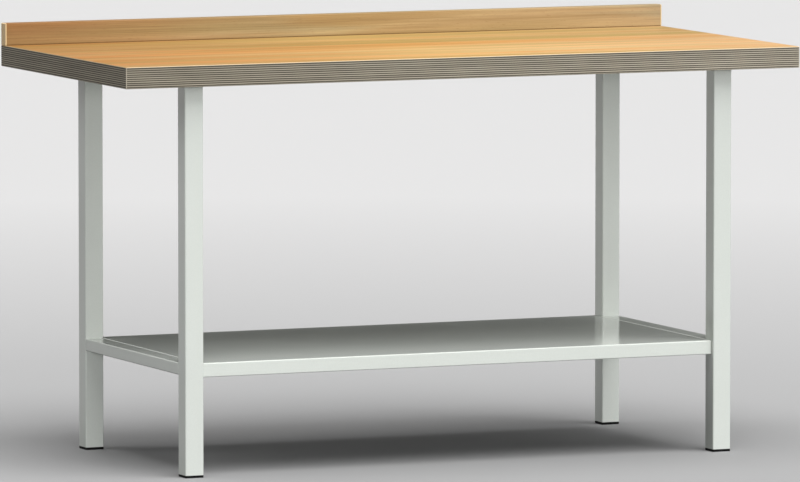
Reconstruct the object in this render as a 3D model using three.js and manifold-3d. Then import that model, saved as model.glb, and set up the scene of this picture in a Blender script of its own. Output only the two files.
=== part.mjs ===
// Assembly table: a thick laminated worktop with a rear upstand, carried by two welded steel end frames
// that a folded sheet-steel shelf ties together. Millimetres, +Z up, front towards -Y, with the origin
// on the floor under the middle of the worktop.
import * as THREE from 'three';
import { mergeVertices } from 'three/addons/utils/BufferGeometryUtils.js';
import Module from 'manifold-3d';

const wasm = await Module();
wasm.setup();

// Worktop
const topLength = 1500;
const topDepth = 700;
const topThickness = 44;
const topEdgeBreak = 1; // chamfer round the upper and lower face
const workHeight = 840; // floor to work surface

// Upstand along the rear edge, let a little way into the worktop
const upstandHeight = 46; // above the work surface
const upstandThickness = 26;
const upstandEdgeBreak = 1;
const upstandSeatDepth = 1;

// End frames: two legs, a low rail between them and a flat strip across their tops
const legWidth = 40;
const legWall = 2;
const legCornerRadius = 3;
const endOverhang = 140; // worktop end to the legs' outer face
const frontOverhang = 32; // worktop front edge to the front legs
const rearOverhang = 78; // rear legs to the worktop rear edge
const stripThickness = 4;
const railHeight = 25;
const railWall = 2;
const railCornerRadius = 3;

// Foot caps pressed into the open lower ends of the legs
const footThickness = 5;
const footPlugHeight = 24;
const footPlugWall = 3;
const footRidgeCount = 3;
const footRidgeHeight = 3;
const footRidgeDepth = 1; // how far a ridge stands out from the plug
const footFit = 0.2; // between the ridges and the inside of the tube

// Shelf: one sheet folded down on four sides, its long lips folded in once more
const shelfHeight = 232; // floor to shelf surface
const shelfLipHeight = 29;
const shelfLipReturn = 15;
const shelfSheet = 1.5;
const shelfBendRadius = 2.5; // outside of the fold
const shelfSetBack = 10; // behind the legs' front face, and in front of their rear face

// Hat-section stiffeners under the shelf sheet
const stiffenerCount = 2;
const stiffenerCrown = 50;
const stiffenerHeight = 20;
const stiffenerFlange = 14;
const stiffenerSheet = 1.5;
const stiffenerEndGap = 30; // to the inside of the shelf's end flange

// Wood screws up through a strip into the worktop
const stripScrewCount = 4;
const stripScrewDiameter = 6;
const stripScrewMargin = 60; // from the leg to the first screw
const stripScrewCover = 14; // wood left above the tip
const stripScrewHexWidth = 10; // across corners
const stripScrewHexHeight = 4;
const stripScrewFlangeDiameter = 14;
const stripScrewFlangeThickness = 1.5;

// Wood screws up through the worktop into the upstand, heads sunk in the underside
const upstandScrewCount = 6;
const upstandScrewDiameter = 5;
const upstandScrewMargin = 100; // from the end of the worktop to the first screw
const upstandScrewCover = 15;
const upstandScrewHeadDiameter = 10;
const upstandScrewHeadHeight = 4;
const upstandScrewSocketWidth = 5; // hexagon socket, across corners
const upstandScrewSocketDepth = 2.5;
const upstandScrewSinkDepth = 12;

// Bolts that hold the shelf's end flanges to rivet nuts in the rails
const shelfBoltCount = 3;
const shelfBoltDiameter = 6;
const shelfBoltLength = 16;
const shelfBoltMargin = 60; // from the leg to the first bolt
const shelfBoltHexWidth = 11.5; // across corners
const shelfBoltHexHeight = 4;
const washerDiameter = 12;
const washerThickness = 1.6;
const rivetNutDiameter = 9;
const rivetNutLength = 14;
const rivetNutFlangeDiameter = 13;
const rivetNutFlangeThickness = 0.8;
const rivetNutBulge = 1; // how far the upset part stands out behind the wall
const rivetNutBulgeLength = 4;

// Fits and fineness
const jointGap = 0.1; // paint film or glue line where two faces meet
const holeClearance = 0.3; // round a screw, bolt or rivet nut, on the radius
const screwPoint = 6; // length of a wood screw's tapered tip
const cutOverrun = 1; // how far a drill runs past the face it enters
const roundSides = 12;
const cornerSteps = 2;
const hexagon = 6;
const mergeDistance = 1e-4;

// Heights and places that follow from the sizes above
const topUnderside = workHeight - topThickness;
const stripUnderside = topUnderside - jointGap - stripThickness;
const legFoot = footThickness + jointGap;
const legLength = stripUnderside - jointGap - legFoot;
const frameX = topLength / 2 - endOverhang - legWidth / 2;
const frameFront = -topDepth / 2 + frontOverhang;
const frameRear = topDepth / 2 - rearOverhang;
const frameY = (frameFront + frameRear) / 2;
const frameDepth = frameRear - frameFront;
const legY = (frameDepth - legWidth) / 2;
const railLength = frameDepth - 2 * legWidth - 2 * jointGap;
const railMiddle = shelfHeight - railHeight / 2;
const shelfDepth = frameDepth - 2 * shelfSetBack;
const shelfUnderside = shelfHeight - shelfSheet;
const shelfEnd = frameX - legWidth / 2 - rivetNutFlangeThickness - 2 * jointGap;
const upstandY = (topDepth - upstandThickness) / 2;
const upstandFoot = workHeight - upstandSeatDepth + jointGap;
const stripScrewTip = workHeight - stripScrewCover;
const upstandScrewTip = workHeight + upstandHeight - upstandScrewCover;
const upstandScrewSeat = topUnderside + upstandScrewSinkDepth;

const stripScrewPlaces = spread(stripScrewCount, railLength - 2 * stripScrewMargin);
const shelfBoltPlaces = spread(shelfBoltCount, railLength - 2 * shelfBoltMargin);
const upstandScrewPlaces = spread(upstandScrewCount, topLength - 2 * upstandScrewMargin);
const stiffenerPitch = shelfDepth / (stiffenerCount + 1);
const stiffenerPlaces = spread(stiffenerCount, stiffenerPitch * (stiffenerCount - 1));

const beech = new THREE.MeshStandardMaterial({ color: 0xd9ad72, roughness: 0.45, metalness: 0 });
const greyPaint = new THREE.MeshStandardMaterial({ color: 0xdce3dc, roughness: 0.35, metalness: 0 });
const blackPlastic = new THREE.MeshStandardMaterial({ color: 0x161617, roughness: 0.6, metalness: 0 });
const zincSteel = new THREE.MeshStandardMaterial({ color: 0xb4b8bb, roughness: 0.3, metalness: 1 });

// Exact quarter turns: axisToZ carries X, Y, Z to Y, Z, X, and axisToX carries them to Z, X, Y.
const unitX = new THREE.Vector3(1, 0, 0);
const unitY = new THREE.Vector3(0, 1, 0);
const unitZ = new THREE.Vector3(0, 0, 1);
const axisToZ = new THREE.Matrix4().makeBasis(unitY, unitZ, unitX);
const axisToX = new THREE.Matrix4().makeBasis(unitZ, unitX, unitY);

// Even places along a span, centred on zero
function spread(count, span) {
  const pitch = span / Math.max(count - 1, 1);
  return Array.from({ length: count }, (_, index) => (index - (count - 1) / 2) * pitch);
}

function toSolid(geometry) {
  const plain = geometry.clone();
  plain.deleteAttribute('normal');
  plain.deleteAttribute('uv');
  const merged = mergeVertices(plain, mergeDistance);
  const vertProperties = new Float32Array(merged.attributes.position.array);
  const triVerts = new Uint32Array(merged.index.array);
  return new wasm.Manifold(new wasm.Mesh({ numProp: 3, vertProperties, triVerts }));
}

function toGeometry(solid) {
  const mesh = solid.getMesh();
  const geometry = new THREE.BufferGeometry();
  geometry.setAttribute('position', new THREE.BufferAttribute(mesh.vertProperties, 3));
  geometry.setIndex(new THREE.BufferAttribute(mesh.triVerts, 1));
  geometry.computeVertexNormals();
  return geometry;
}

function join(first, ...others) {
  return toGeometry(others.reduce((solid, other) => solid.add(toSolid(other)), toSolid(first)));
}

function cut(first, ...tools) {
  return toGeometry(tools.reduce((solid, tool) => solid.subtract(toSolid(tool)), toSolid(first)));
}

// Rectangle centred on zero, with round corners no larger than it has room for
function roundedRectangle(Outline, width, height, radius) {
  const x = width / 2;
  const y = height / 2;
  const r = Math.min(radius, x, y);
  const outline = new Outline();
  outline.moveTo(-x + r, -y);
  outline.lineTo(x - r, -y);
  outline.absarc(x - r, -y + r, r, -Math.PI / 2, 0);
  outline.lineTo(x, y - r);
  outline.absarc(x - r, y - r, r, 0, Math.PI / 2);
  outline.lineTo(-x + r, y);
  outline.absarc(-x + r, y - r, r, Math.PI / 2, Math.PI);
  outline.lineTo(-x, -y + r);
  outline.absarc(-x + r, -y + r, r, Math.PI, Math.PI * 1.5);
  return outline;
}

function tubeSection(width, height, wall, radius) {
  const section = roundedRectangle(THREE.Shape, width, height, radius);
  const innerRadius = Math.max(radius - wall, wall / 4);
  section.holes.push(roundedRectangle(THREE.Path, width - 2 * wall, height - 2 * wall, innerRadius));
  return section;
}

// A section in X and Y, carried up from zero
function extrude(section, depth) {
  return new THREE.ExtrudeGeometry(section, { depth, bevelEnabled: false, curveSegments: cornerSteps });
}

function block(x, y, z, width, depth, height) {
  return new THREE.BoxGeometry(width, depth, height).translate(x, y, z + height / 2);
}

// A board with its upper and lower edges chamfered, standing on zero
function board(length, depth, thickness, chamfer) {
  const x = length / 2 - chamfer;
  const y = depth / 2 - chamfer;
  const corners = [[-x, -y], [x, -y], [x, y], [-x, y]].map((corner) => new THREE.Vector2(...corner));
  const shape = new THREE.ExtrudeGeometry(new THREE.Shape(corners), {
    depth: thickness - 2 * chamfer,
    bevelThickness: chamfer,
    bevelSize: chamfer,
    bevelSegments: 1,
  });
  return shape.translate(0, 0, chamfer);
}

// A round piece from radius and height pairs, about the Z axis
function turned(profile) {
  const points = profile.map(([radius, height]) => new THREE.Vector2(radius, height));
  return new THREE.LatheGeometry(points, roundSides).applyMatrix4(axisToZ);
}

// A rod or hexagon along Z, from one height to another
function rod(radius, from, to, sides = roundSides) {
  const cylinder = new THREE.CylinderGeometry(radius, radius, to - from, sides).applyMatrix4(axisToZ);
  return cylinder.translate(0, 0, (from + to) / 2);
}

function addPart(parent, name, geometry, material, x, y, z) {
  const mesh = new THREE.Mesh(geometry, material);
  mesh.name = name;
  mesh.position.set(x, y, z);
  parent.add(mesh);
}

function makeWorktop() {
  const seatWidth = upstandThickness + jointGap;
  const seat = block(0, (topDepth - seatWidth + cutOverrun) / 2, topThickness - upstandSeatDepth,
    topLength + 2 * cutOverrun, seatWidth + cutOverrun, upstandSeatDepth + cutOverrun);
  const pilotRadius = stripScrewDiameter / 2 + holeClearance;
  const pilotTop = stripScrewTip - topUnderside + holeClearance;
  const pilots = [-frameX, frameX].flatMap((x) => stripScrewPlaces.map((place) => (
    rod(pilotRadius, -cutOverrun, pilotTop).translate(x, frameY + place, 0))));
  const passRadius = upstandScrewDiameter / 2 + holeClearance;
  const sinkRadius = upstandScrewHeadDiameter / 2 + holeClearance;
  const passes = upstandScrewPlaces.flatMap((x) => [
    rod(passRadius, -cutOverrun, topThickness + cutOverrun).translate(x, upstandY, 0),
    rod(sinkRadius, -cutOverrun, upstandScrewSinkDepth).translate(x, upstandY, 0),
  ]);
  return cut(board(topLength, topDepth, topThickness, topEdgeBreak), seat, ...pilots, ...passes);
}

function makeUpstand() {
  const height = workHeight + upstandHeight - upstandFoot;
  const radius = upstandScrewDiameter / 2 + holeClearance;
  const depth = upstandScrewTip - upstandFoot + holeClearance;
  const pilots = upstandScrewPlaces.map((x) => rod(radius, -cutOverrun, depth).translate(x, 0, 0));
  return cut(board(topLength, upstandThickness, height, upstandEdgeBreak), ...pilots);
}

// Flanged hexagon head below zero, shank and point above it
function makeStripScrew() {
  const shank = stripScrewDiameter / 2;
  const flange = stripScrewFlangeDiameter / 2;
  const length = stripScrewTip - stripUnderside + jointGap;
  const round = turned([
    [0, -stripScrewFlangeThickness],
    [flange, -stripScrewFlangeThickness],
    [flange, 0],
    [shank, 0],
    [shank, length - screwPoint],
    [0, length],
  ]);
  const headTop = -stripScrewFlangeThickness / 2;
  const headFoot = -stripScrewFlangeThickness - stripScrewHexHeight;
  return join(round, rod(stripScrewHexWidth / 2, headFoot, headTop, hexagon));
}

// Cylinder head with a hexagon socket below zero, shank and point above it
function makeUpstandScrew() {
  const shank = upstandScrewDiameter / 2;
  const head = upstandScrewHeadDiameter / 2;
  const length = upstandScrewTip - upstandScrewSeat + jointGap;
  const round = turned([
    [0, -upstandScrewHeadHeight],
    [head, -upstandScrewHeadHeight],
    [head, 0],
    [shank, 0],
    [shank, length - screwPoint],
    [0, length],
  ]);
  const socketTop = upstandScrewSocketDepth - upstandScrewHeadHeight;
  const socketFoot = -upstandScrewHeadHeight - cutOverrun;
  return cut(round, rod(upstandScrewSocketWidth / 2, socketFoot, socketTop, hexagon));
}

// Square flange with a ribbed hollow plug standing on it, open at its top
function makeFootCap() {
  const inside = legWidth - 2 * legWall;
  const ridgeWidth = inside - 2 * footFit;
  const plugWidth = ridgeWidth - 2 * footRidgeDepth;
  const ridgeRadius = Math.max(legCornerRadius - legWall, legWall / 4);
  const flange = extrude(roundedRectangle(THREE.Shape, legWidth, legWidth, legCornerRadius), footThickness);
  const plug = extrude(roundedRectangle(THREE.Shape, plugWidth, plugWidth, ridgeRadius), footPlugHeight);
  const ridge = extrude(roundedRectangle(THREE.Shape, ridgeWidth, ridgeWidth, ridgeRadius), footRidgeHeight);
  const ridgePitch = footPlugHeight / footRidgeCount;
  const ridges = Array.from({ length: footRidgeCount }, (_, index) => (
    ridge.clone().translate(0, 0, footThickness + (index + 0.5) * ridgePitch - footRidgeHeight / 2)));
  const cap = join(flange, plug.translate(0, 0, footThickness), ...ridges);
  const hollowWidth = plugWidth - 2 * footPlugWall;
  const hollow = block(0, 0, footThickness, hollowWidth, hollowWidth, footPlugHeight + cutOverrun);
  return cut(cap, hollow);
}

function makeLeg() {
  return extrude(tubeSection(legWidth, legWidth, legWall, legCornerRadius), legLength);
}

// Tube along Y, its inner wall (towards +X) bored for the rivet nuts
function makeRail() {
  const section = tubeSection(railHeight, legWidth, railWall, railCornerRadius);
  const tube = extrude(section, railLength).translate(0, 0, -railLength / 2).applyMatrix4(axisToX);
  const radius = rivetNutDiameter / 2 + holeClearance;
  const bore = rod(radius, legWidth / 2 - railWall - cutOverrun, legWidth / 2 + cutOverrun);
  bore.applyMatrix4(axisToZ);
  return cut(tube, ...shelfBoltPlaces.map((place) => bore.clone().translate(0, place, 0)));
}

function makeTopStrip() {
  const radius = stripScrewDiameter / 2 + holeClearance;
  const hole = rod(radius, -cutOverrun, stripThickness + cutOverrun);
  const strip = block(0, 0, 0, legWidth, frameDepth, stripThickness);
  return cut(strip, ...stripScrewPlaces.map((place) => hole.clone().translate(0, place, 0)));
}

// Section of the folded shelf across its depth: lip returns, lips and top, with its surface at zero
function shelfSection() {
  const r = shelfBendRadius;
  const inner = Math.max(r - shelfSheet, shelfSheet / 4);
  const y = shelfDepth / 2;
  const foot = -shelfLipHeight;
  const quarter = Math.PI / 2;
  const section = new THREE.Shape();
  section.moveTo(-y + shelfLipReturn, foot);
  section.lineTo(-y + shelfLipReturn, foot + shelfSheet);
  section.lineTo(-y + shelfSheet + inner, foot + shelfSheet);
  section.absarc(-y + shelfSheet + inner, foot + shelfSheet + inner, inner, -quarter, -2 * quarter, true);
  section.lineTo(-y + shelfSheet, -shelfSheet - inner);
  section.absarc(-y + shelfSheet + inner, -shelfSheet - inner, inner, 2 * quarter, quarter, true);
  section.lineTo(y - shelfSheet - inner, -shelfSheet);
  section.absarc(y - shelfSheet - inner, -shelfSheet - inner, inner, quarter, 0, true);
  section.lineTo(y - shelfSheet, foot + shelfSheet + inner);
  section.absarc(y - shelfSheet - inner, foot + shelfSheet + inner, inner, 0, -quarter, true);
  section.lineTo(y - shelfLipReturn, foot + shelfSheet);
  section.lineTo(y - shelfLipReturn, foot);
  section.lineTo(y - r, foot);
  section.absarc(y - r, foot + r, r, -quarter, 0);
  section.lineTo(y, -r);
  section.absarc(y - r, -r, r, 0, quarter);
  section.lineTo(-y + r, 0);
  section.absarc(-y + r, -r, r, quarter, 2 * quarter);
  section.lineTo(-y, foot + r);
  section.absarc(-y + r, foot + r, r, 2 * quarter, 3 * quarter);
  return section;
}

// The folded tray, with an end flange as deep as the rail that it is bolted to
function makeShelf() {
  const tray = extrude(shelfSection(), 2 * shelfEnd).translate(0, 0, -shelfEnd).applyMatrix4(axisToZ);
  const flangeDepth = shelfDepth - shelfSheet;
  const flangeHeight = railHeight - shelfSheet / 2;
  const flangeX = shelfEnd - shelfSheet / 2;
  const flanges = [-flangeX, flangeX].map((x) => (
    block(x, 0, -railHeight, shelfSheet, flangeDepth, flangeHeight)));
  const radius = shelfBoltDiameter / 2 + holeClearance;
  const hole = rod(radius, -shelfEnd - cutOverrun, shelfEnd + cutOverrun).applyMatrix4(axisToZ);
  const holes = shelfBoltPlaces.map((place) => hole.clone().translate(0, place, -railHeight / 2));
  return cut(join(tray, ...flanges), ...holes);
}

// Hat section along X, hung from zero by its two flanges
function makeStiffener() {
  const y = stiffenerCrown / 2;
  const t = stiffenerSheet;
  const half = [
    [y + stiffenerFlange, 0],
    [y - t, 0],
    [y - t, t - stiffenerHeight],
  ];
  const outer = [
    [y, -stiffenerHeight],
    [y, -t],
    [y + stiffenerFlange, -t],
  ];
  const mirrored = (corners) => corners.map(([across, height]) => [-across, height]);
  const corners = [...half, ...mirrored(half).reverse(), ...mirrored(outer).reverse(), ...outer];
  const section = new THREE.Shape(corners.map((corner) => new THREE.Vector2(...corner)));
  const length = 2 * (shelfEnd - shelfSheet - stiffenerEndGap);
  return extrude(section, length).translate(0, 0, -length / 2).applyMatrix4(axisToZ);
}

// Hexagon head towards +X, shank towards -X, seat at zero
function makeShelfBolt() {
  const head = rod(shelfBoltHexWidth / 2, 0, shelfBoltHexHeight, hexagon);
  const shank = rod(shelfBoltDiameter / 2, -shelfBoltLength, shelfBoltHexHeight / 2);
  return join(head, shank).applyMatrix4(axisToZ);
}

function makeWasher() {
  const inner = shelfBoltDiameter / 2 + holeClearance;
  const outer = washerDiameter / 2;
  const ring = turned([[inner, 0], [outer, 0], [outer, washerThickness], [inner, washerThickness], [inner, 0]]);
  return ring.applyMatrix4(axisToZ);
}

// Flange towards +X from zero, body and upset bulge towards -X, bored right through
function makeRivetNut() {
  const bore = shelfBoltDiameter / 2 + holeClearance;
  const body = rivetNutDiameter / 2;
  const bulge = body + rivetNutBulge;
  const flange = rivetNutFlangeDiameter / 2;
  const bulgeTop = -jointGap - railWall - jointGap;
  const bulgeFoot = bulgeTop - rivetNutBulgeLength;
  const nut = turned([
    [bore, -rivetNutLength],
    [body, -rivetNutLength],
    [body, bulgeFoot],
    [bulge, bulgeFoot],
    [bulge, bulgeTop],
    [body, bulgeTop],
    [body, 0],
    [flange, 0],
    [flange, rivetNutFlangeThickness],
    [bore, rivetNutFlangeThickness],
    [bore, -rivetNutLength],
  ]);
  return nut.applyMatrix4(axisToZ);
}

// One end of the table about its own middle, with +X towards the middle of the table. nearName is the
// leg on the -Y side before the group is turned into place, and farName the one on the +Y side.
function addEnd(table, side, nearName, farName, x, turn) {
  const end = new THREE.Group();
  end.position.set(x, frameY, 0);
  end.rotation.z = turn;
  table.add(end);
  for (const [name, y] of [[nearName, -legY], [farName, legY]]) {
    addPart(end, `foot_cap_${name}_${side}`, makeFootCap(), blackPlastic, 0, y, 0);
    addPart(end, `leg_${name}_${side}`, makeLeg(), greyPaint, 0, y, legFoot);
  }
  addPart(end, `end_rail_${side}`, makeRail(), greyPaint, 0, 0, railMiddle);
  addPart(end, `top_strip_${side}`, makeTopStrip(), greyPaint, 0, 0, stripUnderside);
  stripScrewPlaces.forEach((place, index) => {
    const name = `worktop_screw_${side}_${index + 1}`;
    addPart(end, name, makeStripScrew(), zincSteel, 0, place, stripUnderside - jointGap);
  });
  const nutX = legWidth / 2 + jointGap;
  const washerX = nutX + rivetNutFlangeThickness + jointGap + shelfSheet + jointGap;
  const boltX = washerX + washerThickness + jointGap;
  shelfBoltPlaces.forEach((place, index) => {
    const number = index + 1;
    addPart(end, `rivet_nut_${side}_${number}`, makeRivetNut(), zincSteel, nutX, place, railMiddle);
    addPart(end, `shelf_washer_${side}_${number}`, makeWasher(), zincSteel, washerX, place, railMiddle);
    addPart(end, `shelf_bolt_${side}_${number}`, makeShelfBolt(), zincSteel, boltX, place, railMiddle);
  });
}

const table = new THREE.Group();
addPart(table, 'worktop', makeWorktop(), beech, 0, 0, topUnderside);
addPart(table, 'upstand', makeUpstand(), beech, 0, upstandY, upstandFoot);
upstandScrewPlaces.forEach((x, index) => {
  const name = `upstand_screw_${index + 1}`;
  addPart(table, name, makeUpstandScrew(), zincSteel, x, upstandY, upstandScrewSeat - jointGap);
});
addEnd(table, 'left', 'front', 'rear', -frameX, 0);
addEnd(table, 'right', 'rear', 'front', frameX, Math.PI);
addPart(table, 'shelf', makeShelf(), greyPaint, 0, frameY, shelfHeight);
stiffenerPlaces.forEach((place, index) => {
  const name = `shelf_stiffener_${index + 1}`;
  addPart(table, name, makeStiffener(), greyPaint, 0, frameY + place, shelfUnderside - jointGap);
});

export default table;
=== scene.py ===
import math
import bpy
import bmesh
import numpy as np
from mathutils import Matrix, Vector


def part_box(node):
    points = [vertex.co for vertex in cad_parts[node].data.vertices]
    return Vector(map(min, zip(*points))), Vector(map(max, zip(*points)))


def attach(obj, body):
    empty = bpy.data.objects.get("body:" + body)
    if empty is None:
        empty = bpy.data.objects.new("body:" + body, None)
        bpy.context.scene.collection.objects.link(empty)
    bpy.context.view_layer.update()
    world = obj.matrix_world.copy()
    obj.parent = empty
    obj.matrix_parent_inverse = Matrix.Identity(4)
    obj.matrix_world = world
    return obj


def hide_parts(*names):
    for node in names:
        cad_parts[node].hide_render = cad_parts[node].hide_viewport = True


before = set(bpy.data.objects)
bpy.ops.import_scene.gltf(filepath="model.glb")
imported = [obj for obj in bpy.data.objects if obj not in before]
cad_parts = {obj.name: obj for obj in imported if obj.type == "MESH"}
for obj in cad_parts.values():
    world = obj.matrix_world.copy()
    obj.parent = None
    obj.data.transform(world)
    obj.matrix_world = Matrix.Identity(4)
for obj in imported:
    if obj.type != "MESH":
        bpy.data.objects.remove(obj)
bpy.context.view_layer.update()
print("stage: frame loaded")


def boxOf(node):
    # low and high corner of one CAD node, in metres
    low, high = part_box(node)
    return np.array(low), np.array(high)


boardLow, boardHigh = boxOf("worktop")
boardEnd, boardSide, boardTop = (float(reach) for reach in boardHigh)
boardFoot = float(boardLow[2])
endNames = ("left", "right")
rowNames = ("front", "rear")
fastenerCounts = {"stripScrews": 4, "shelfBolts": 3, "upstandScrews": 6}  # the first two at each end
crispAngle = 40.0  # degrees; edges that turn further than this stay crisp
weldGap = 1e-6  # points nearer than this become one


def addNode(tree, kind, inputs, **settings):
    node = tree.nodes.new(kind)
    for key, value in settings.items():
        setattr(node, key, value)
    for key, value in inputs.items():
        socket = node.inputs[key]
        if isinstance(value, bpy.types.NodeSocket):
            tree.links.new(value, socket)
        else:
            socket.default_value = value
    return node.outputs


def mathOf(tree, operation, first, second=0.0, third=0.0):
    return addNode(tree, "ShaderNodeMath", {0: first, 1: second, 2: third}, operation=operation)[0]


def mixOf(tree, share, first, second, blend="MIX"):
    return addNode(tree, "ShaderNodeMix", {0: share, 6: first, 7: second},
                   data_type="RGBA", blend_type=blend)[2]


def spanOf(tree, value, start, stop):
    # 0 at the start, 1 at the stop, and level beyond both
    return addNode(tree, "ShaderNodeMapRange",
                   {"Value": value, "From Min": start, "From Max": stop})["Result"]


def rampOf(tree, value, stops):
    output = addNode(tree, "ShaderNodeValToRGB", {"Fac": value})[0]
    elements = output.node.color_ramp.elements
    while len(elements) < len(stops):
        elements.new(0.5)
    for element, (place, colour) in zip(elements, stops):
        element.position = place
        element.color = colour if len(colour) == 4 else (*colour, 1.0)
    return output


def greyRamp(tree, value, stops):
    return rampOf(tree, value, [(place, (level,) * 3) for place, level in stops])


def placeOf(tree):
    return addNode(tree, "ShaderNodeTexCoord", {})["Object"]


def axesOf(tree):
    return addNode(tree, "ShaderNodeSeparateXYZ", {0: placeOf(tree)})


def stretched(tree, scale, shift):
    return addNode(tree, "ShaderNodeMapping", {"Vector": placeOf(tree), "Scale": scale, "Location": shift})[0]


def noiseOf(tree, scale, shift=(0, 0, 0), detail=3.0, roughness=0.5, distortion=0.0):
    # noise over Object coordinates, its cells stretched by one over the scale on each axis
    return addNode(tree, "ShaderNodeTexNoise",
                   {"Vector": stretched(tree, scale, shift), "Scale": 1.0, "Detail": detail,
                    "Roughness": roughness, "Distortion": distortion})["Fac"]


def startFinish(name):
    material = bpy.data.materials.new(name)
    material.use_nodes = True
    tree = material.node_tree
    return material, tree, tree.nodes["Principled BSDF"]


def setBump(tree, shader, height, depth, strength):
    bump = addNode(tree, "ShaderNodeBump", {"Height": height, "Distance": depth, "Strength": strength})[0]
    tree.links.new(bump, shader.inputs["Normal"])


def beechFace(name, look):
    # lacquered beech, grain along X: broad tone bands, long streaks, fine fibres and short dark flecks
    material, tree, shader = startFinish(name)
    # cells per metre along and across the grain, detail, roughness, distortion and a slide along the grain
    grain = {"bands": (0.5, 10.0, 2.0, 0.5, 0.4, 0.0), "tints": (0.7, 17.0, 3.0, 0.55, 0.3, 7.0),
             "streaks": (1.1, 70.0, 4.0, 0.62, 0.2, 0.0), "lines": (2.0, 260.0, 3.0, 0.6, 0.1, 0.0),
             "fibres": (9.0, 520.0, 3.0, 0.6, 0.0, 0.0), "flecks": (75.0, 950.0, 1.0, 0.5, 0.0, 0.0)}
    # what each finer grain multiplies the colour by, and how much of it counts
    marks = {"streaks": (1.0, [(0.30, (1.12, 1.12, 1.14)), (0.50, (1.0, 1.0, 1.0)),
                               (0.70, (0.84, 0.80, 0.74))]),
             "lines": (1.0, [(0.34, (1.07, 1.07, 1.08)), (0.52, (1.0, 1.0, 1.0)),
                             (0.66, (0.86, 0.82, 0.77))]),
             "fibres": (0.8, [(0.3, (0.86, 0.84, 0.80)), (0.62, (1.04, 1.03, 1.02))]),
             "flecks": (0.55, [(0.66, (1.0, 1.0, 1.0)), (0.74, (0.72, 0.60, 0.50))])}
    relief = {"duller": 0.07, "brighter": 0.05, "fleckShare": -0.5, "depth": 0.00012, "strength": 0.5}
    noise = {}
    for kind, (along, across, detail, roughness, distortion, slide) in grain.items():
        shift = (look["shift"][0] + slide, *look["shift"][1:])
        noise[kind] = noiseOf(tree, (along, across, across), shift, detail, roughness, distortion)
    tone = rampOf(tree, noise["bands"], look["tones"])
    colour = mixOf(tree, 1.0, tone, rampOf(tree, noise["tints"], look["tints"]), "MULTIPLY")
    for kind, (share, stops) in marks.items():
        colour = mixOf(tree, share, colour, rampOf(tree, noise[kind], stops), "MULTIPLY")
    axes = axesOf(tree)
    # painted light: the wood darkens towards the left end and a painted glare pales its right end; painted
    # shade darkens it towards the rear
    along = spanOf(tree, axes["X"], -boardEnd, boardEnd)
    colour = mixOf(tree, 1.0, colour, rampOf(tree, along, look["drift"]), "MULTIPLY")
    back = spanOf(tree, axes["Y"], *look["rearShadeSpan"])
    colour = mixOf(tree, back, colour, mixOf(tree, 1.0, colour, look["rear"], "MULTIPLY"))
    # a narrow band of heights with its own colour: a painted highlight along the top's long arrises, painted
    # shade along the batten's foot where it meets the board, and a faint line along the backing's lower arris
    low, high, soft = look["line"]
    inBand = mathOf(tree, "MULTIPLY", spanOf(tree, axes["Z"], low - soft, low),
                    spanOf(tree, axes["Z"], high + soft, high))
    outward = mathOf(tree, "ABSOLUTE", axes["X"])
    inBand = mathOf(tree, "MULTIPLY", inBand, mathOf(tree, "LESS_THAN", outward, look["lineEnd"]))
    inBand = mathOf(tree, "MULTIPLY", inBand, look["lineShare"])
    colour = mixOf(tree, inBand, colour, look["lineColour"])
    # at the cut ends the arris takes its own colour: painted shade on the top's, a painted highlight on the
    # batten's, a plain tone on the backing's
    arris = mathOf(tree, "GREATER_THAN", outward, look["arrisFrom"])
    colour = mixOf(tree, arris, colour, look["arris"])
    tree.links.new(colour, shader.inputs["Base Color"])
    sheen = greyRamp(tree, noise["fibres"], [(0.25, look["rough"] + relief["duller"]),
                                             (0.75, look["rough"] - relief["brighter"])])
    tree.links.new(sheen, shader.inputs["Roughness"])
    shader.inputs["Specular IOR Level"].default_value = look["gloss"]
    pits = mathOf(tree, "MULTIPLY", noise["flecks"], relief["fleckShare"])
    setBump(tree, shader, mathOf(tree, "ADD", noise["fibres"], pits), relief["depth"], relief["strength"])
    return material


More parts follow.
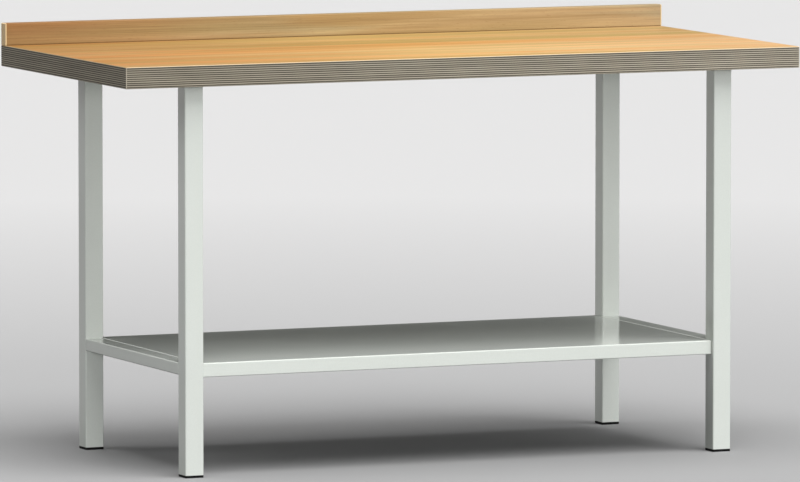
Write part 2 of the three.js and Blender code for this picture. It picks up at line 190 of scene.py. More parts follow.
def plyEdge(name, look):
    # layers by height: even ones show long fibres, odd ones cut fibres, each with its own tone
    material, tree, shader = startFinish(name)
    # cells per metre along and up the edge, detail and roughness
    grain = {"wander": (5.0, 30.0, 2.0, 0.5), "longFibres": (14.0, 900.0, 3.0, 0.6),
             "cutFibres": (420.0, 700.0, 3.0, 0.65), "patches": (7.0, 60.0, 3.0, 0.5)}
    marks = {"own": [(0.0, (0.86, 0.86, 0.86)), (1.0, (1.10, 1.10, 1.09))],
             "glue": [(0.02, (0.62, 0.58, 0.53)), (0.13, (1.0, 1.0, 1.0))], "glueShare": 0.75,
             "patches": [(0.3, (0.90, 0.89, 0.88)), (0.7, (1.06, 1.06, 1.05))]}
    relief = {"groove": 0.6, "depth": 0.00015, "strength": 0.5}
    noise = {}
    for kind, (along, up, detail, roughness) in grain.items():
        noise[kind] = noiseOf(tree, (along, along, up), look["shift"], detail, roughness)
    axes = axesOf(tree)
    height = mathOf(tree, "MULTIPLY_ADD", noise["wander"], look["wander"], axes["Z"])
    layer = mathOf(tree, "DIVIDE", mathOf(tree, "SUBTRACT", height, look["bottom"]), look["layer"])
    fromGlue = mathOf(tree, "PINGPONG", layer, 0.5)  # nothing on a glue line, a half at mid layer
    number = mathOf(tree, "FLOOR", layer)
    odd = mathOf(tree, "FLOORED_MODULO", number, 2.0)
    own = addNode(tree, "ShaderNodeTexWhiteNoise", {"W": number}, noise_dimensions="1D")["Value"]
    colour = mixOf(tree, odd, rampOf(tree, noise["longFibres"], look["longTones"]),
                   rampOf(tree, noise["cutFibres"], look["cutTones"]))
    colour = mixOf(tree, 1.0, colour, rampOf(tree, own, marks["own"]), "MULTIPLY")
    colour = mixOf(tree, marks["glueShare"], colour, rampOf(tree, fromGlue, marks["glue"]), "MULTIPLY")
    colour = mixOf(tree, 1.0, colour, rampOf(tree, noise["patches"], marks["patches"]), "MULTIPLY")
    # like the face, painted light: the layers darken towards the left end and pale towards the right
    along = spanOf(tree, axes["X"], -boardEnd, boardEnd)
    colour = mixOf(tree, 1.0, colour, rampOf(tree, along, look["drift"]), "MULTIPLY")
    # painted highlight: the upright corners are pale
    sideways = mathOf(tree, "SUBTRACT", mathOf(tree, "ABSOLUTE", axes["X"]), look["cornerX"])
    inward = mathOf(tree, "SUBTRACT", mathOf(tree, "ABSOLUTE", axes["Y"]), look["cornerY"])
    corner = mathOf(tree, "GREATER_THAN", mathOf(tree, "MINIMUM", sideways, inward), 0.0)
    colour = mixOf(tree, mathOf(tree, "MULTIPLY", corner, look["cornerShare"]), colour, look["corner"])
    # the face veneer shows as a thin light line above the layers: partly its own tone, partly a painted
    # highlight along the top edge
    veneer = mathOf(tree, "GREATER_THAN", height, look["veneerFrom"])
    colour = mixOf(tree, veneer, colour, look["veneer"])
    tree.links.new(colour, shader.inputs["Base Color"])
    shader.inputs["Roughness"].default_value = look["rough"]
    shader.inputs["Specular IOR Level"].default_value = look["gloss"]
    groove = mathOf(tree, "MULTIPLY", fromGlue, relief["groove"])
    rough = mathOf(tree, "MULTIPLY", noise["cutFibres"], odd)
    setBump(tree, shader, mathOf(tree, "ADD", groove, rough), relief["depth"], relief["strength"])
    return material


def endGrain(name, look):
    # cut end of a batten: growth rings about a far centre, with fine pores
    material, tree, shader = startFinish(name)
    rings = addNode(tree, "ShaderNodeTexWave",
                    {"Vector": stretched(tree, (1.0, 1.0, 1.0), look["shift"]), "Scale": look["rings"],
                     "Distortion": 3.0, "Detail": 2.0, "Detail Scale": 0.6},
                    wave_type="RINGS", rings_direction="X")["Fac"]
    pores = noiseOf(tree, look["pores"], look["shift"], detail=2.0)
    poreTone = rampOf(tree, pores, look["poreTones"])
    colour = mixOf(tree, look["poreShare"], rampOf(tree, rings, look["tones"]), poreTone, "MULTIPLY")
    tree.links.new(colour, shader.inputs["Base Color"])
    shader.inputs["Roughness"].default_value = look["rough"]
    shader.inputs["Specular IOR Level"].default_value = look["gloss"]
    setBump(tree, shader, pores, look["relief"], look["strength"])
    return material


def greyPaint(name, look):
    # powder coat: orange-peel relief and a slow drift of tone and sheen
    material, tree, shader = startFinish(name)
    coat = {"drift": 6.0, "driftShift": (3, 1, 2), "duller": 0.04, "glossier": 0.03,
            "specks": [(0.2, 0.965), (0.8, 1.015)]}
    peel = noiseOf(tree, (look["peel"],) * 3, detail=2.0)
    drift = noiseOf(tree, (coat["drift"],) * 3, coat["driftShift"])
    colour = rampOf(tree, drift, [(0.25, look["shade"]), (0.75, look["tint"])])
    colour = mixOf(tree, 1.0, colour, greyRamp(tree, peel, coat["specks"]), "MULTIPLY")
    tree.links.new(colour, shader.inputs["Base Color"])
    rough = greyRamp(tree, drift, [(0.2, look["rough"] + coat["duller"]),
                                   (0.8, look["rough"] - coat["glossier"])])
    tree.links.new(rough, shader.inputs["Roughness"])
    shader.inputs["Specular IOR Level"].default_value = look["gloss"]
    setBump(tree, shader, peel, look["relief"], look["strength"])
    return material


def blackPlastic(name, look):
    # moulded plastic with a fine spark-eroded grain
    material, tree, shader = startFinish(name)
    grain = noiseOf(tree, (look["grain"],) * 3, detail=2.0)
    wear = noiseOf(tree, (look["wear"],) * 3, look["wearShift"])
    tree.links.new(rampOf(tree, wear, look["tones"]), shader.inputs["Base Color"])
    tree.links.new(greyRamp(tree, grain, look["rough"]), shader.inputs["Roughness"])
    shader.inputs["Specular IOR Level"].default_value = look["gloss"]
    setBump(tree, shader, grain, look["relief"], look["strength"])
    return material


def zincSteel(name, look):
    # bright zinc plate: cloudy tone and uneven sheen
    material, tree, shader = startFinish(name)
    cloud = noiseOf(tree, (look["cloud"],) * 3, look["cloudShift"])
    fine = noiseOf(tree, (look["fine"],) * 3, look["fineShift"], detail=2.0)
    tree.links.new(rampOf(tree, cloud, look["tones"]), shader.inputs["Base Color"])
    tree.links.new(greyRamp(tree, cloud, look["rough"]), shader.inputs["Roughness"])
    shader.inputs["Metallic"].default_value = 1.0
    setBump(tree, shader, fine, look["relief"], look["strength"])
    return material


beechTones = [(0.34, (0.54, 0.345, 0.115)), (0.44, (0.61, 0.385, 0.145)), (0.52, (0.67, 0.435, 0.185)),
              (0.60, (0.63, 0.37, 0.13)), (0.68, (0.56, 0.33, 0.11))]
# darker than the top's tones: partly the batten's own tone, partly painted shade on its upright face
battenTones = [(0.34, (0.36, 0.255, 0.105)), (0.44, (0.40, 0.28, 0.125)), (0.52, (0.44, 0.32, 0.15)),
               (0.60, (0.395, 0.275, 0.12)), (0.68, (0.35, 0.24, 0.10))]
backTones = [(0.34, (0.29, 0.25, 0.185)), (0.44, (0.33, 0.285, 0.21)), (0.52, (0.36, 0.31, 0.235)),
             (0.60, (0.335, 0.29, 0.215)), (0.68, (0.30, 0.255, 0.19))]
beechTints = [(0.36, (0.92, 0.98, 0.92)), (0.50, (1.0, 1.0, 1.0)), (0.62, (1.06, 0.90, 0.76))]
noTint = (1.0, 1.0, 1.0, 1.0)
rearShadeSpan = (-0.15, 0.30)  # from here to here painted shade darkens the wood towards the rear
plyLayers = 21
finishes = {
    "top": beechFace("beech_top", {
        "shift": (0, 0, 0), "tones": beechTones, "tints": beechTints, "rough": 0.46, "gloss": 0.22,
        # painted light: darker towards the left end, with a painted glare paling the right end
        "drift": [(0.0, (0.79, 0.69, 0.68)), (0.5, (1.05, 1.06, 1.08)), (1.0, (1.08, 1.13, 1.50))],
        # painted shade: the top darkens towards the rear
        "rear": (0.70, 0.68, 0.54, 1.0), "rearShadeSpan": rearShadeSpan,
        # painted highlight: a cream line along the top's long arrises
        "line": (boardTop - 0.0100, boardTop - 0.0003, 0.0001), "lineEnd": boardEnd - 0.0018,
        "lineShare": 0.8, "lineColour": (0.84, 0.69, 0.46, 1.0),
        # painted shade along the top's arris at the cut ends
        "arrisFrom": boardEnd - 0.0008, "arris": (0.42, 0.30, 0.15, 1.0)}),
    "back": beechFace("backing_veneer", {
        "shift": (9.1, 3.3, 5.7), "tones": backTones, "tints": beechTints, "rough": 0.60, "gloss": 0.2,
        "drift": [(0.0, (0.97, 0.97, 0.97)), (1.0, (1.03, 1.03, 1.03))], "rear": noTint, "rearShadeSpan": rearShadeSpan,
        "line": (boardFoot + 0.0001, boardFoot + 0.0020, 0.0002), "lineEnd": boardEnd - 0.0018,
        "lineShare": 0.3, "lineColour": (0.36, 0.32, 0.25, 1.0),
        "arrisFrom": boardEnd - 0.0010, "arris": (0.30, 0.26, 0.20, 1.0)}),
    "batten": beechFace("beech_batten", {
        "shift": (4.2, 1.7, 2.3), "tones": battenTones, "tints": beechTints, "rough": 0.45, "gloss": 0.35,
        # painted light: darker towards the left end, with a painted glare paling the right end
        "drift": [(0.0, (0.74, 0.57, 0.46)), (0.22, (0.86, 0.75, 0.69)), (0.5, (0.92, 1.05, 1.20)),
                  (1.0, (1.09, 1.28, 1.78))],
        "rear": noTint, "rearShadeSpan": rearShadeSpan,
        # painted shade: a dark line along the batten's foot where it meets the board
        "line": (boardTop - 0.0020, boardTop + 0.0014, 0.0006), "lineEnd": boardEnd,
        "lineShare": 0.85, "lineColour": (0.15, 0.085, 0.03, 1.0),
        # painted highlight along the batten's arris at the cut ends
        "arrisFrom": boardEnd - 0.0022, "arris": (0.88, 0.66, 0.36, 1.0)}),
    "edge": plyEdge("multiplex_edge", {
        "shift": (1.0, 2.0, 0.4), "bottom": boardFoot, "layer": (boardTop - boardFoot) / plyLayers,
        "wander": 0.0003, "rough": 0.6, "gloss": 0.3,
        # painted light: the layers darken towards the left end
        "drift": [(0.0, (0.71, 0.70, 0.68)), (0.5, (0.87, 0.865, 0.85)), (1.0, (1.02, 1.01, 1.01))],
        # painted highlight on the upright corners
        "cornerX": boardEnd - 0.0017, "cornerY": boardSide - 0.0017, "cornerShare": 0.75,
        "corner": (0.56, 0.50, 0.40, 1.0),
        "veneerFrom": boardTop - 0.0010, "veneer": (0.72, 0.58, 0.38, 1.0),
        "longTones": [(0.3, (0.465, 0.428, 0.345)), (0.7, (0.585, 0.538, 0.44))],
        "cutTones": [(0.3, (0.058, 0.051, 0.038)), (0.7, (0.120, 0.106, 0.078))]}),
    "battenEnd": endGrain("beech_end", {
        "shift": (0.0, 0.11, 0.09), "rings": 70.0, "pores": (700.0, 900.0, 900.0), "poreShare": 0.8,
        # painted light: the cut end is much paler than the batten's face
        "tones": [(0.2, (0.90, 0.69, 0.42)), (0.8, (0.80, 0.59, 0.34))],
        "poreTones": [(0.35, (0.70, 0.66, 0.60)), (0.6, (1.0, 1.0, 1.0))],
        "rough": 0.62, "gloss": 0.3, "relief": 0.0001, "strength": 0.4}),
    "frame": greyPaint("grey_powder_coat", {
        "shade": (0.685, 0.72, 0.675), "tint": (0.71, 0.745, 0.70), "peel": 520.0, "rough": 0.16,
        "gloss": 0.5, "relief": 0.0002, "strength": 0.06}),
    "shelf": greyPaint("shelf_powder_coat", {
        "shade": (0.685, 0.72, 0.675), "tint": (0.71, 0.745, 0.70), "peel": 420.0, "rough": 0.12,
        "gloss": 0.35, "relief": 0.0002, "strength": 0.03}),
    "plastic": blackPlastic("black_moulded_plastic", {
        "grain": 1500.0, "wear": 60.0, "wearShift": (1, 5, 2),
        "tones": [(0.3, (0.003, 0.003, 0.0033)), (0.8, (0.008, 0.008, 0.0083))],
        "rough": [(0.2, 0.62), (0.8, 0.46)], "gloss": 0.12, "relief": 0.0001, "strength": 0.35}),
    "zinc": zincSteel("zinc_plate", {
        "cloud": 260.0, "cloudShift": (2, 2, 7), "fine": 1600.0, "fineShift": (0, 3, 0),
        "tones": [(0.25, (0.50, 0.51, 0.53)), (0.75, (0.68, 0.68, 0.67))],
        "rough": [(0.2, 0.42), (0.8, 0.27)], "relief": 0.00005, "strength": 0.3}),
}
print("stage: finishes made")


def outlineWithArcs(corners, radii, steps):
    # walk round the corners; each arc leaves one side and joins the next, and keeps its outward normals
    corners = np.asarray(corners, float)
    points = []
    normals = []
    for here, radius in enumerate(radii):
        ahead = corners[(here + 1) % len(corners)] - corners[here]
        behind = corners[here] - corners[here - 1]
        ahead = ahead / np.linalg.norm(ahead)
        behind = behind / np.linalg.norm(behind)
        turn = math.atan2(behind[0] * ahead[1] - behind[1] * ahead[0], behind @ ahead)
        out = np.array([behind[1], -behind[0]])
        if radius == 0:
            outNext = np.array([ahead[1], -ahead[0]])
            points.append(corners[here][None])
            normals.append(((out + outNext) / (1 + out @ outNext))[None])
            continue
        side = math.copysign(1.0, turn)
        centre = corners[here] - behind * radius * math.tan(abs(turn) / 2) - out * radius * side
        angle = np.linspace(0, turn, steps + 1)
        swung = np.stack([out[0] * np.cos(angle) - out[1] * np.sin(angle),
                          out[0] * np.sin(angle) + out[1] * np.cos(angle)], axis=1)
        points.append(centre + swung * radius * side)
        normals.append(swung)
    return np.vstack(points), np.vstack(normals)


def rectangle(low, high, radius, steps):
    # the four corners of a box in turn, each rounded by the same arc
    corners = [(low[0], low[1]), (high[0], low[1]), (high[0], high[1]), (low[0], high[1])]
    return outlineWithArcs(corners, [radius] * 4, steps)


def circleOf(radius, sides, centre):
    # evenly spaced spokes: the points lie one radius out along them, and they are the normals too
    angle = np.arange(sides) * 2 * math.pi / sides
    spokes = np.stack([np.cos(angle), np.sin(angle)], axis=1)
    return spokes * radius + centre, spokes


def ringFaces(rings, around, joined):
    # quads between neighbouring rings, and one flat face at each end unless the rings join up
    ring = np.arange(rings if joined else rings - 1)[:, None]
    step = np.arange(around)[None, :]
    nextRing = (ring + 1) % rings
    nextStep = (step + 1) % around
    quads = np.stack([ring * around + step, ring * around + nextStep,
                      nextRing * around + nextStep, nextRing * around + step], axis=-1)
    faces = quads.reshape(-1, 4).tolist()
    if not joined:
        faces.append(np.arange(around)[::-1].tolist())
        faces.append(((rings - 1) * around + np.arange(around)).tolist())
    return faces


def carried(outline, stations, axis, joined=False):
    # each station is a place on the axis and an inset: the outline less inset times its normals
    points, normals = outline
    stations = np.asarray(stations, float)
    rings = points[None] - stations[:, 1, None, None] * normals[None]
    grid = np.empty((*rings.shape[:2], 3))
    grid[..., axis] = stations[:, 0, None]
    grid[..., (axis + 1) % 3] = rings[..., 0]
    grid[..., (axis + 2) % 3] = rings[..., 1]
    return grid.reshape(-1, 3), ringFaces(len(stations), len(points), joined)


def turnedShape(stations, sides, centre, axis, way):
    # each station is height, radius and hexagon share, which blends a circle into a hexagon:
    # the hexagon's radius is one over the cosine of the angle from the middle of its nearest flat
    stations = np.asarray(stations, float)
    angle = np.arange(sides) * 2 * math.pi / sides
    sixth = math.pi / 3
    hexagon = 1 / np.cos((angle + sixth / 2) % sixth - sixth / 2)
    radius = stations[:, 1, None] * (1 + stations[:, 2, None] * (hexagon[None] - 1))
    grid = np.empty((*radius.shape, 3))
    grid[..., axis] = way * stations[:, 0, None]
    grid[..., (axis + 1) % 3] = radius * np.cos(angle)
    grid[..., (axis + 2) % 3] = way * radius * np.sin(angle)
    return grid.reshape(-1, 3) + centre, ringFaces(len(stations), sides, False)


def easedEnds(start, stop, radius, steps):
    # a quarter circle of insets at each end of the run
    angle = np.linspace(0, math.pi / 2, steps + 1)
    place = radius * (1 - np.cos(angle))
    inset = radius * (1 - np.sin(angle))
    return [*zip(start + place, inset), *zip(stop - place[::-1], inset[::-1])]


def tubeStations(start, stop, wall, ease):
    # up the outside, over the eased rim, down the bore and round the other rim
    return [(start + ease, 0), (stop - ease, 0), (stop, ease), (stop, wall - ease),
            (stop - ease, wall), (start + ease, wall), (start, wall - ease), (start, ease)]


def finishPiece(name, shape, finish, nodes, sharp=crispAngle):
    # mesh in place, its doubled points welded, and smooth but for its real corners
    mesh = bpy.data.meshes.new(name)
    mesh.from_pydata(shape[0].tolist(), [], shape[1])
    weld = bmesh.new()
    weld.from_mesh(mesh)
    bmesh.ops.remove_doubles(weld, verts=weld.verts, dist=weldGap)
    weld.to_mesh(mesh)
    weld.free()
    mesh.validate()
    mesh.shade_smooth()
    mesh.set_sharp_from_angle(angle=math.radians(sharp))
    for material in finish:
        mesh.materials.append(material)
    piece = bpy.data.objects.new(name, mesh)
    bpy.context.scene.collection.objects.link(piece)
    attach(piece, "root")
    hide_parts(*nodes)
    return piece


def keepFlat(piece):
    # weighted normals, so that wide faces stay flat beside their eased edges
    weigh = piece.modifiers.new("flat faces", "WEIGHTED_NORMAL")
    weigh.keep_sharp = True
    weigh.weight = 100  # the widest face decides


def dressNode(node, ending, shape, finish):
    # one new piece of one finish in the place of one node
    keepFlat(finishPiece(node + ending, shape, [finishes[finish]], [node]))


def paintNode(node):
    # a small hidden fastener keeps its own mesh and takes the zinc
    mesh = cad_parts[node].data
    mesh.materials.clear()
    mesh.materials.append(finishes["zinc"])


def tellFaces(piece, test):
    # test takes the face normals and gives the number of each face's finish
    normals = np.empty(len(piece.data.polygons) * 3)
    piece.data.polygons.foreach_get("normal", normals)
    piece.data.polygons.foreach_set("material_index", test(normals.reshape(-1, 3)).astype(np.int32))


def drillSinks(piece, sink):
    # sink holes in the underside, cut with one round bar in line with each upstand screw
    bars = []
    faces = []
    for number in range(1, fastenerCounts["upstandScrews"] + 1):
        screwLow, screwHigh = boxOf(f"upstand_screw_{number}")
        circle = circleOf(sink["radius"], sink["sides"], ((screwLow + screwHigh) / 2)[:2])
        bar = carried(circle, [(boardLow[2] - sink["overrun"], 0), (boardLow[2] + sink["depth"], 0)], 2)
        first = sum(len(points) for points in bars)
        faces += [[corner + first for corner in face] for face in bar[1]]
        bars.append(bar[0])
    cutterMesh = bpy.data.meshes.new("sink bars")
    cutterMesh.from_pydata(np.vstack(bars).tolist(), [], faces)
    cutter = bpy.data.objects.new("sink bars", cutterMesh)
    bpy.context.scene.collection.objects.link(cutter)
    drill = piece.modifiers.new("sink holes", "BOOLEAN")
    drill.operation = "DIFFERENCE"
    drill.object = cutter
    drill.solver = "EXACT"
    undrilled = piece.data
    made = piece.evaluated_get(bpy.context.evaluated_depsgraph_get())
    drilled = bpy.data.meshes.new_from_object(made)
    piece.modifiers.clear()
    piece.data = drilled
    drilled.name = piece.name
    bpy.data.objects.remove(cutter)
    bpy.data.meshes.remove(cutterMesh)
    bpy.data.meshes.remove(undrilled)
    drilled.set_sharp_from_angle(angle=math.radians(crispAngle))


def makeWorktop():
    # the board's end outline, stepped where the upstand sits, carried along X with eased ends
    board = {"edge": 0.0015, "arc": 5, "endArc": 4, "seat": 0.001, "faceFrom": 0.3, "edgeFrom": -0.6}
    sink = {"radius": 0.0053, "depth": 0.012, "sides": 32, "overrun": 0.01}
    low, high = boardLow, boardHigh
    seatFront = boxOf("upstand")[0][1]
    seatTop = high[2] - board["seat"]
    corners = [(low[1], low[2]), (high[1], low[2]), (high[1], seatTop),
               (seatFront, seatTop), (seatFront, high[2]), (low[1], high[2])]
    ease = board["edge"]
    outline = outlineWithArcs(corners, [ease, ease, 0, 0, 0, ease], board["arc"])
    shape = carried(outline, easedEnds(low[0], high[0], ease, board["endArc"]), 0)
    piece = finishPiece("worktop_board", shape, [finishes["top"], finishes["edge"], finishes["back"]],
                        ["worktop"])
    drillSinks(piece, sink)

    def upOrDown(normals):
        # the face looks up, the backing looks down and the layered edge looks outward
        up = normals[:, 2]
        return np.where(up > board["faceFrom"], 0, np.where(up > board["edgeFrom"], 1, 2))

    tellFaces(piece, upOrDown)
    keepFlat(piece)


def makeUpstand():
    # a rounded rectangle carried along X with eased ends; the cut ends have their own finish
    batten = {"edge": 0.0020, "arc": 5, "endArc": 4, "endFrom": 0.8}
    low, high = boxOf("upstand")
    outline = rectangle(low[1:], high[1:], batten["edge"], batten["arc"])
    shape = carried(outline, easedEnds(low[0], high[0], batten["edge"], batten["endArc"]), 0)
    piece = finishPiece("upstand_batten", shape, [finishes["batten"], finishes["battenEnd"]],
                        ["upstand"])
    tellFaces(piece, lambda normals: np.abs(normals[:, 0]) > batten["endFrom"])
    keepFlat(piece)


def makeFrame():
    # legs and end rails: a rounded outline carried up the outside and down the bore; strips: eased bars
    tube = {"corner": 0.003, "wall": 0.002, "rim": 0.0003, "arc": 8}
    strip = {"edge": 0.0006, "arc": 4, "endArc": 3}
    for side in endNames:
        for row in rowNames:
            node = f"leg_{row}_{side}"
            low, high = boxOf(node)
            outline = rectangle(low[:2], high[:2], tube["corner"], tube["arc"])
            shape = carried(outline, tubeStations(low[2], high[2], tube["wall"], tube["rim"]), 2, True)
            dressNode(node, "_tube", shape, "frame")
        node = f"end_rail_{side}"
        low, high = boxOf(node)
        outline = rectangle((low[2], low[0]), (high[2], high[0]), tube["corner"], tube["arc"])
        shape = carried(outline, tubeStations(low[1], high[1], tube["wall"], tube["rim"]), 1, True)
        dressNode(node, "_tube", shape, "frame")
        node = f"top_strip_{side}"
        low, high = boxOf(node)
        outline = rectangle((low[2], low[0]), (high[2], high[0]), strip["edge"], strip["arc"])
        shape = carried(outline, easedEnds(low[1], high[1], strip["edge"], strip["endArc"]), 1)
        dressNode(node, "_bar", shape, "frame")


def makeFeet():
    # a rounded square carried up the flange, in over its top and up the plug to a lead-in
    cap = {"corner": 0.003, "flange": 0.005, "ease": 0.0004, "plugInset": 0.0022, "lead": 0.0007, "arc": 6}
    ease = cap["ease"]
    plug = cap["plugInset"]
    for side in endNames:
        for row in rowNames:
            node = f"foot_cap_{row}_{side}"
            low, high = boxOf(node)
            flangeTop = low[2] + cap["flange"]
            stations = [(low[2], ease), (low[2] + ease, 0), (flangeTop - ease, 0), (flangeTop, ease),
                        (flangeTop, plug), (high[2] - cap["lead"], plug), (high[2], plug + cap["lead"])]
            shape = carried(rectangle(low[:2], high[:2], cap["corner"], cap["arc"]), stations, 2)
            dressNode(node, "_plug", shape, "plastic")


def gridOf(x, y, z):
    # a grid of points from its three coordinates, each spread over the rows and columns it lacks
    return np.stack(np.broadcast_arrays(x, y, z), axis=-1)


def makeShelf():
    sheet = {"thick": 0.0015, "bend": 0.0025, "returnBend": 0.002, "returned": 0.015, "flange": 0.025,
             "relief": 0.003, "lipRelief": 0.002, "mitre": 0.016, "across": 24, "arc": 8}
    low, high = boxOf("shelf")
    bend = sheet["bend"]
    turn = np.linspace(0, math.pi / 2, sheet["arc"] + 1)
    middle = (low + high) / 2
    half = (high - low) / 2
    flat = half - bend
    deep = half[2] * 2
    across = np.linspace(-1, 1, sheet["across"] + 1)
    # top sheet: a flat grid between the four folds
    grids = [gridOf(middle[0] + flat[0] * across[None, :], middle[1] + flat[1] * across[:, None], high[2])]
    # front and rear lips: fold, drop, second fold and return, as outward and downward travel
    inner = sheet["returnBend"]
    out = [bend * np.sin(turn), bend - inner * (1 - np.cos(turn)), [bend - sheet["returned"]]]
    drop = [bend * (1 - np.cos(turn)), deep - inner + inner * np.sin(turn), [deep]]
    lipReach = [bend * np.sin(turn), bend - sheet["lipRelief"] * np.sin(turn), [bend - sheet["mitre"]]]
    out, drop, lipReach = (np.concatenate(part)[:, None] for part in (out, drop, lipReach))
    for way in (-1, 1):
        grids.append(gridOf(middle[0] + (flat[0] + lipReach) * across[None, :] * -way,
                            middle[1] + way * (flat[1] + out), high[2] - drop))
    # end flanges: one fold and a drop, a little shorter than the sheet below the fold
    out = [bend * np.sin(turn), [bend]]
    drop = [bend * (1 - np.cos(turn)), [sheet["flange"]]]
    short = [sheet["relief"] * np.sin(turn), [sheet["relief"]]]
    out, drop, short = (np.concatenate(part)[:, None] for part in (out, drop, short))
    for way in (-1, 1):
        grids.append(gridOf(middle[0] + way * (flat[0] + out),
                            middle[1] + (flat[1] - short) * across[None, :] * way, high[2] - drop))
    points = []
    faces = []
    for grid in grids:
        rows, columns = grid.shape[:2]
        row = np.arange(rows - 1)[:, None] * columns
        column = np.arange(columns - 1)[None, :]
        first = sum(len(made) for made in points) + row + column
        quad = [first, first + 1, first + columns + 1, first + columns]
        if grid is not grids[0]:
            quad.reverse()  # the folds run the other way round from the top
        faces += np.stack(quad, axis=-1).reshape(-1, 4).tolist()
        points.append(grid.reshape(-1, 3))
    shape = (np.vstack(points), faces)
    piece = finishPiece("shelf_sheet", shape, [finishes["shelf"]], ["shelf"])
    skin = piece.modifiers.new("sheet thickness", "SOLIDIFY")
    skin.thickness = sheet["thick"]
    skin.offset = -1.0
    skin.use_even_offset = True
    keepFlat(piece)


def makeStiffeners():
    hat = {"count": 2, "thick": 0.0015, "crown": 0.050, "bend": 0.002, "arc": 5, "sharp": 50.0}
    thick = hat["thick"]
    edge = hat["crown"] / 2
    outside = hat["bend"]
    inside = hat["bend"] - thick
    for number in range(1, hat["count"] + 1):
        node = f"shelf_stiffener_{number}"
        low, high = boxOf(node)
        middle = (low[1] + high[1]) / 2
        wide = (high[1] - low[1]) / 2
        top = high[2]
        # closed outline of the folded strip: along the lower skin and back along the upper one
        lower = [(-wide, top - thick), (-edge, top - thick), (-edge, low[2]), (edge, low[2]),
                 (edge, top - thick), (wide, top - thick)]
        upper = [(wide, top), (edge - thick, top), (edge - thick, low[2] + thick),
                 (-edge + thick, low[2] + thick), (-edge + thick, top), (-wide, top)]
        radii = [0, inside, outside, outside, inside, 0, 0, outside, inside, inside, outside, 0]
        outline = outlineWithArcs([(middle + y, z) for y, z in lower + upper], radii, hat["arc"])
        shape = carried(outline, [(low[0], 0), (high[0], 0)], 0)
        piece = finishPiece(f"stiffener_{number}_hat", shape, [finishes["shelf"]], [node],
                            hat["sharp"])
        keepFlat(piece)


def makeStripScrews(side):
    # head down: hexagon, washer face, shank and point, as heights and radii from the head up
    screw = {"sides": 36, "flat": 0.00433, "chamfer": 0.93, "crown": 0.0005, "flange": 0.0015,
             "fillet": 0.0002, "filletOut": 0.0008, "filletHex": 0.4, "slope": 0.0007, "slopeIn": 0.0002,
             "rim": 0.0004, "ease": 0.0001, "shank": 0.003, "tip": 0.006, "point": 0.0003}
    seat = boxOf(f"top_strip_{side}")[0][2]
    flange = seat - screw["flange"]
    flat = screw["flat"]
    shank = screw["shank"]
    for number in range(1, fastenerCounts["stripScrews"] + 1):
        node = f"worktop_screw_{side}_{number}"
        low, high = boxOf(node)
        centre = np.array([*((low + high) / 2)[:2], 0])
        wide = (high[0] - low[0]) / 2
        stations = [(low[2], flat * screw["chamfer"], 0), (low[2] + screw["crown"], flat, 1),
                    (flange, flat, 1),
                    (flange + screw["fillet"], flat + screw["filletOut"], screw["filletHex"]),
                    (seat - screw["slope"], wide - screw["slopeIn"], 0), (seat - screw["rim"], wide, 0),
                    (seat - screw["ease"], wide, 0), (seat, wide - screw["ease"], 0), (seat, shank, 0),
                    (high[2] - screw["tip"], shank, 0), (high[2], screw["point"], 0)]
        dressNode(node, "_hex", turnedShape(stations, screw["sides"], centre, 2, 1), "zinc")


def makeShelfBolts(side):
    # each bolt points outward from the shelf's end flange: hexagon, shank and lead-in, then its washer
    bolt = {"sides": 36, "flat": 0.00498, "chamfer": 0.93, "crown": 0.0006, "ease": 0.0001,
            "shank": 0.003, "lead": 0.0007}
    washer = {"sides": 36, "bore": 0.0032, "rim": 0.00015}
    way = -1 if side == "left" else 1
    flat = bolt["flat"]
    shank = bolt["shank"]
    for number in range(1, fastenerCounts["shelfBolts"] + 1):
        node = f"shelf_bolt_{side}_{number}"
        ringNode = f"shelf_washer_{side}_{number}"
        low, high = boxOf(node)
        ringLow, ringHigh = boxOf(ringNode)
        centre = np.array([0, *((low + high) / 2)[1:]])
        # outward travel at the head's top, at its seat on the washer and at the tip
        start, end = sorted((way * low[0], way * high[0]))
        seat = min(way * ringLow[0], way * ringHigh[0])
        stations = [(start, flat * bolt["chamfer"], 0), (start + bolt["crown"], flat, 1),
                    (seat - bolt["ease"], flat, 1), (seat, flat - bolt["ease"], 1), (seat, shank, 0),
                    (end - bolt["lead"], shank, 0), (end, shank - bolt["lead"], 0)]
        dressNode(node, "_hex", turnedShape(stations, bolt["sides"], centre, 0, way), "zinc")
        radius = (ringHigh[1] - ringLow[1]) / 2
        outline = circleOf(radius, washer["sides"], ((ringLow + ringHigh) / 2)[1:])
        stations = tubeStations(ringLow[0], ringHigh[0], radius - washer["bore"], washer["rim"])
        dressNode(ringNode, "_ring", carried(outline, stations, 0, True), "zinc")
        paintNode(f"rivet_nut_{side}_{number}")


def makeFasteners():
    for side in endNames:
        makeStripScrews(side)
        makeShelfBolts(side)
    for number in range(1, fastenerCounts["upstandScrews"] + 1):
        paintNode(f"upstand_screw_{number}")


makeWorktop()
makeUpstand()
print("stage: board and upstand made")
makeFrame()
makeFeet()
print("stage: frame and feet made")
makeShelf()
makeStiffeners()
makeFasteners()
print("stage: shelf and fasteners made")


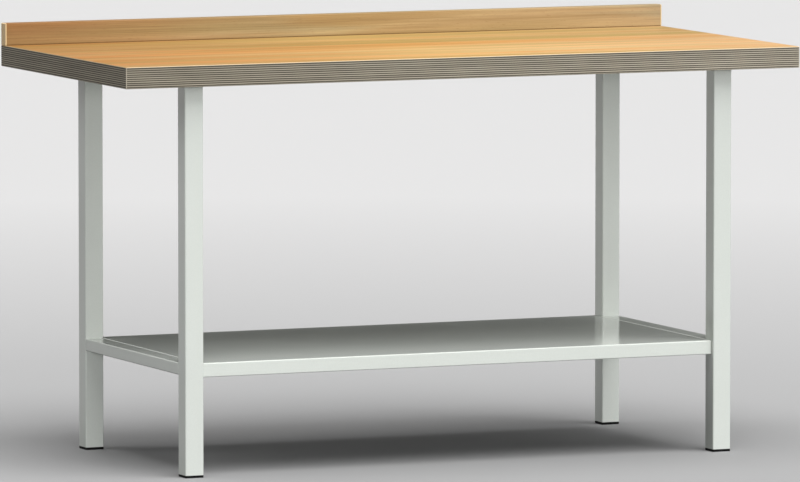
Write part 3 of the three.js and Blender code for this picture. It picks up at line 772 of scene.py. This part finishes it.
def makeStage():
    floor = {"half": 400.0, "near": (0.33, 0.33, 0.332, 1.0), "far": (0.53, 0.527, 0.527, 1.0),
             "bounce": (0.09, 0.09, 0.09, 1.0), "nearTo": 0.5, "farFrom": 6.0, "rough": 0.8, "gloss": 0.1}
    half = floor["half"]
    corners = [(-half, -half, 0), (half, -half, 0), (half, half, 0), (-half, half, 0)]
    mesh = bpy.data.meshes.new("studio_floor")
    mesh.from_pydata(corners, [], [(0, 1, 2, 3)])
    plane = bpy.data.objects.new("studio_floor", mesh)
    bpy.context.scene.collection.objects.link(plane)
    material, tree, shader = startFinish("pale_floor")
    # pale to the eye, with painted shade round the table that gives way to paler floor further off; darker
    # where it only throws light back at it
    path = addNode(tree, "ShaderNodeLightPath", {})
    clear = mathOf(tree, "MAXIMUM", path["Is Camera Ray"], path["Is Transmission Ray"])
    seen = mathOf(tree, "MAXIMUM", clear, path["Is Glossy Ray"])
    away = addNode(tree, "ShaderNodeVectorMath", {0: placeOf(tree)}, operation="LENGTH")["Value"]
    shown = mixOf(tree, spanOf(tree, away, floor["nearTo"], floor["farFrom"]), floor["near"], floor["far"])
    tree.links.new(mixOf(tree, seen, floor["bounce"], shown), shader.inputs["Base Color"])
    shader.inputs["Roughness"].default_value = floor["rough"]
    shader.inputs["Specular IOR Level"].default_value = floor["gloss"]
    mesh.materials.append(material)


def towards(azimuth, elevation):
    # unit vector at this bearing from the front and this height above level, both in degrees
    around = math.radians(azimuth)
    above = math.radians(elevation)
    level = math.cos(above)
    return Vector((math.sin(around) * level, -math.cos(around) * level, math.sin(above)))


def addLamp(lamp):
    light = bpy.data.lights.new(lamp["name"], "SUN")
    light.energy = lamp["power"]
    light.angle = math.radians(lamp["spread"])
    holder = bpy.data.objects.new(lamp["name"], light)
    toLamp = towards(lamp["azimuth"], lamp["elevation"])
    reach = 8.0  # a sun lamp shines the same from any distance
    holder.location = toLamp * reach
    holder.rotation_euler = toLamp.to_track_quat("Z", "Y").to_euler()
    bpy.context.scene.collection.objects.link(holder)


def makeLight():
    lamps = [
        {"name": "overhead", "azimuth": 0.0, "elevation": 88.0, "spread": 46.0, "power": 1.75},
        {"name": "high_key", "azimuth": 8.0, "elevation": 62.0, "spread": 46.0, "power": 2.15},
        {"name": "right_fill", "azimuth": 50.0, "elevation": 36.0, "spread": 40.0, "power": 0.65},
        {"name": "front_fill", "azimuth": 8.0, "elevation": 18.0, "spread": 24.0, "power": 0.55},
        {"name": "low_key", "azimuth": -12.0, "elevation": 3.5, "spread": 9.0, "power": 1.0},
        {"name": "left_fill", "azimuth": -104.0, "elevation": 34.0, "spread": 40.0, "power": 0.62},
        {"name": "rear_rim", "azimuth": 180.0, "elevation": 22.0, "spread": 34.0, "power": 0.25},
    ]
    skyLevels = [(0.0, 0.008), (0.35, 0.015), (1.0, 0.10)]  # from level to straight up
    for lamp in lamps:
        addLamp(lamp)
    world = bpy.data.worlds.new("studio")
    world.use_nodes = True
    bpy.context.scene.world = world
    tree = world.node_tree
    way = addNode(tree, "ShaderNodeTexCoord", {})["Generated"]
    up = addNode(tree, "ShaderNodeSeparateXYZ", {0: way})["Z"]
    tree.links.new(greyRamp(tree, up, skyLevels), tree.nodes["Background"].inputs["Color"])
    bpy.context.scene.view_settings.view_transform = "Standard"


def makeCamera():
    shot = {"azimuth": -23.43, "elevation": 5.273, "distance": 19.0, "aim": (-0.1074, -0.2487, 0.4584),
            "lens": 417.71, "sensor": 36.0, "clipEnd": 1000.0}
    lens = bpy.data.cameras.new("photo_camera")
    lens.lens = shot["lens"]
    lens.sensor_width = shot["sensor"]
    lens.clip_end = shot["clipEnd"]
    camera = bpy.data.objects.new("photo_camera", lens)
    camera.location = Vector(shot["aim"]) + towards(shot["azimuth"], shot["elevation"]) * shot["distance"]
    camera.rotation_euler = (math.radians(90 - shot["elevation"]), 0, math.radians(shot["azimuth"]))
    bpy.context.scene.collection.objects.link(camera)
    bpy.context.scene.camera = camera


makeStage()
makeLight()
makeCamera()
print("stage: studio made")
